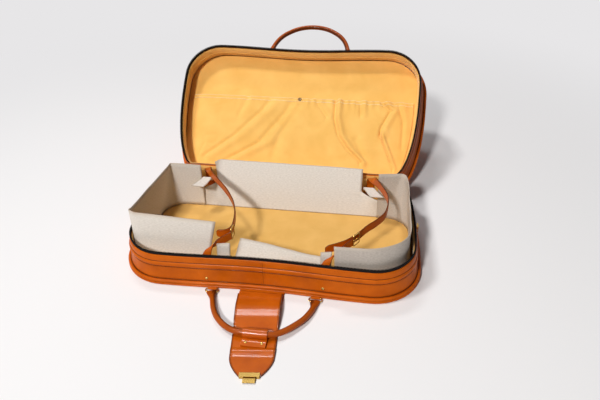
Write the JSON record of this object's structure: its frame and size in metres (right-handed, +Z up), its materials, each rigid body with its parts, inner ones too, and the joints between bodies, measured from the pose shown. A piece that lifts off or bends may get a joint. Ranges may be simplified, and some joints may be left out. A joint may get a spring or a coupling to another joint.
{
  "type": "soft leather suitcase",
  "caption": "Rounded leather suitcase lying open, with a hinged lid, rolled grips, a long closing flap, inner straps and a loose board liner.",
  "frame": {"origin": "middle of the base's flat underside, on the floor", "axes": "+Z up, +Y towards the hinge and the open lid, -Y towards the front handle, +X to the viewer's right"},
  "size_m": [0.64, 0.9918, 0.2838],
  "materials": {
    "base_panel": "glossy cognac leather",
    "base_piping": "glossy cognac leather, darker along the edges",
    "base_wall": "glossy cognac leather",
    "base_welt": "glossy cognac leather",
    "base_band": "glossy cognac leather",
    "base_zip_tape": "black moulded zip teeth on tape",
    "base_wall_lining": "soft golden yellow suede cloth",
    "base_floor_lining": "soft golden yellow suede cloth",
    "base_hinge_strip": "glossy cognac leather",
    "base_handle_chape_left": "glossy cognac leather",
    "base_handle_chape_right": "glossy cognac leather",
    "flap_root": "glossy cognac leather",
    "liner_left": "light grey board with a fine linen face",
    "liner_right": "light grey board with a fine linen face",
    "liner_back": "light grey board with a fine linen face",
    "liner_front": "light grey board with a fine linen face",
    "liner_tab_left": "light grey board with a fine linen face",
    "liner_tab_right": "light grey board with a fine linen face",
    "strap_left_long": "glossy cognac leather",
    "strap_left_short": "glossy cognac leather",
    "strap_right_long": "glossy cognac leather",
    "strap_right_short": "glossy cognac leather",
    "buckle_left": "polished gold-coloured metal",
    "buckle_right": "polished gold-coloured metal",
    "strap_stud_left": "polished gold-coloured metal",
    "strap_stud_right": "polished gold-coloured metal",
    "lid_panel": "glossy cognac leather",
    "lid_piping": "glossy cognac leather, darker along the edges",
    "lid_wall": "glossy cognac leather",
    "lid_welt": "glossy cognac leather",
    "lid_band": "glossy cognac leather",
    "lid_zip_tape": "black moulded zip teeth on tape",
    "lid_wall_lining": "soft golden yellow suede cloth",
    "lid_floor_lining": "soft golden yellow suede cloth",
    "lid_hinge_strip": "glossy cognac leather",
    "lid_handle_chape_left": "glossy cognac leather",
    "lid_handle_chape_right": "glossy cognac leather",
    "lid_pocket": "soft golden yellow suede cloth",
    "pocket_snap": "dark bronze press stud",
    "lock_plate": "polished gold-coloured metal",
    "lid_handle": "glossy cognac leather",
    "lid_ring_left": "polished gold-coloured metal",
    "lid_ring_right": "polished gold-coloured metal",
    "base_handle": "glossy cognac leather",
    "base_ring_left": "polished gold-coloured metal",
    "base_ring_right": "polished gold-coloured metal",
    "handle_sleeve": "glossy cognac leather",
    "flap_neck": "glossy cognac leather",
    "flap_strap": "glossy cognac leather",
    "flap_tip": "glossy cognac leather",
    "flap_clasp": "polished gold-coloured metal",
    "clasp_hook": "polished gold-coloured metal",
    "lock_button": "polished gold-coloured metal",
    "zip_slider_left": "polished gold-coloured metal",
    "zip_slider_right": "polished gold-coloured metal",
    "zip_pull_left": "polished gold-coloured metal",
    "zip_pull_right": "polished gold-coloured metal",
    "prong_left": "polished gold-coloured metal",
    "prong_right": "polished gold-coloured metal"
  },
  "bodies": {
    "base": {"base_panel": "base_panel", "base_piping": "base_piping", "base_wall": "base_wall", "base_welt": "base_welt", "base_band": "base_band", "base_zip_tape": "base_zip_tape", "base_wall_lining": "base_wall_lining", "base_floor_lining": "base_floor_lining", "base_hinge_strip": "base_hinge_strip", "base_handle_chape_left": "base_handle_chape_left", "base_handle_chape_right": "base_handle_chape_right", "flap_root": "flap_root", "liner_left": "liner_left", "liner_right": "liner_right", "liner_back": "liner_back", "liner_front": "liner_front", "liner_tab_left": "liner_tab_left", "liner_tab_right": "liner_tab_right", "strap_left_long": "strap_left_long", "strap_left_short": "strap_left_short", "strap_right_long": "strap_right_long", "strap_right_short": "strap_right_short", "buckle_left": "buckle_left", "buckle_right": "buckle_right", "strap_stud_left": "strap_stud_left", "strap_stud_right": "strap_stud_right"},
    "lid": {"lid_panel": "lid_panel", "lid_piping": "lid_piping", "lid_wall": "lid_wall", "lid_welt": "lid_welt", "lid_band": "lid_band", "lid_zip_tape": "lid_zip_tape", "lid_wall_lining": "lid_wall_lining", "lid_floor_lining": "lid_floor_lining", "lid_hinge_strip": "lid_hinge_strip", "lid_handle_chape_left": "lid_handle_chape_left", "lid_handle_chape_right": "lid_handle_chape_right", "lid_pocket": "lid_pocket", "pocket_snap": "pocket_snap", "lock_plate": "lock_plate"},
    "lid_handle": {"lid_handle": "lid_handle", "lid_ring_left": "lid_ring_left", "lid_ring_right": "lid_ring_right"},
    "base_handle": {"base_handle": "base_handle", "base_ring_left": "base_ring_left", "base_ring_right": "base_ring_right"},
    "handle_sleeve": {"handle_sleeve": "handle_sleeve"},
    "flap_neck": {"flap_neck": "flap_neck"},
    "flap_strap": {"flap_strap": "flap_strap"},
    "flap_tip": {"flap_tip": "flap_tip", "flap_clasp": "flap_clasp"},
    "clasp_hook": {"clasp_hook": "clasp_hook"},
    "lock_button": {"lock_button": "lock_button"},
    "zip_slider_left": {"zip_slider_left": "zip_slider_left"},
    "zip_slider_right": {"zip_slider_right": "zip_slider_right"},
    "zip_pull_left": {"zip_pull_left": "zip_pull_left"},
    "zip_pull_right": {"zip_pull_right": "zip_pull_right"},
    "prong_left": {"prong_left": "prong_left"},
    "prong_right": {"prong_right": "prong_right"}
  },
  "joints": [
    {"name": "lid_hinge", "type": "hinge", "parent": "base", "child": "lid", "pos_m": [0, 0.165, 0.0755], "axis": [1, 0, 0], "range_deg": [0, 140.88]},
    {"name": "lid_handle_swing", "type": "hinge", "parent": "lid", "child": "lid_handle", "pos_m": [0, 0.487, 0.23567], "axis": [-1, 0, 0], "range_deg": [-110, 103]},
    {"name": "base_handle_swing", "type": "hinge", "parent": "base", "child": "base_handle", "pos_m": [0, -0.1807, 0.0036], "axis": [-1, 0, 0], "range_deg": [0, 88]},
    {"name": "sleeve_turn", "type": "hinge", "parent": "base_handle", "child": "handle_sleeve", "pos_m": [0, -0.2927, 0.013], "axis": [1, 0, 0], "range_deg": [-120, 0]},
    {"name": "flap_fold", "type": "hinge", "parent": "base_handle", "child": "flap_neck", "pos_m": [0, -0.1807, 0.0036], "axis": [-1, 0, 0], "range_deg": [-90, 0]},
    {"name": "flap_sway", "type": "hinge", "parent": "flap_neck", "child": "flap_strap", "pos_m": [0, -0.1977, 0.0003], "axis": [0, 0, -1], "range_deg": [0, 6.5]},
    {"name": "flap_bend", "type": "hinge", "parent": "flap_strap", "child": "flap_tip", "pos_m": [0.01604, -0.33849, 0.0036], "axis": [-0.9936, -0.1132, 0], "range_deg": [0, 90]},
    {"name": "clasp_hook_turn", "type": "hinge", "parent": "flap_tip", "child": "clasp_hook", "pos_m": [0.02127, -0.38439, 0.0033], "axis": [0.9936, 0.1132, 0], "range_deg": [-60, 0]},
    {"name": "lock_button_slide", "type": "slide", "parent": "lid", "child": "lock_button", "axis": [1, 0, 0], "range_m": [0, 0.004], "stiffness_N_per_m": 120},
    {"name": "zip_slider_left_run", "type": "slide", "parent": "base", "child": "zip_slider_left", "axis": [0, -1, 0], "range_m": [0, 0.052]},
    {"name": "zip_slider_right_run", "type": "slide", "parent": "base", "child": "zip_slider_right", "axis": [0, -1, 0], "range_m": [0, 0.052]},
    {"name": "zip_pull_left_swing", "type": "hinge", "parent": "zip_slider_left", "child": "zip_pull_left", "pos_m": [-0.3037, -0.018, 0.07825], "axis": [0, 1, 0], "range_deg": [0, 120]},
    {"name": "zip_pull_right_swing", "type": "hinge", "parent": "zip_slider_right", "child": "zip_pull_right", "pos_m": [0.3037, -0.018, 0.07825], "axis": [0, -1, 0], "range_deg": [0, 120]},
    {"name": "prong_left_turn", "type": "hinge", "parent": "base", "child": "prong_left", "pos_m": [-0.07024, -0.11347, 0.09287], "axis": [0, 0, -1], "range_deg": [0, 40]},
    {"name": "prong_right_turn", "type": "hinge", "parent": "base", "child": "prong_right", "pos_m": [0.17548, -0.10341, 0.09211], "axis": [0, 0, -1], "range_deg": [0, 40]}
  ]
}
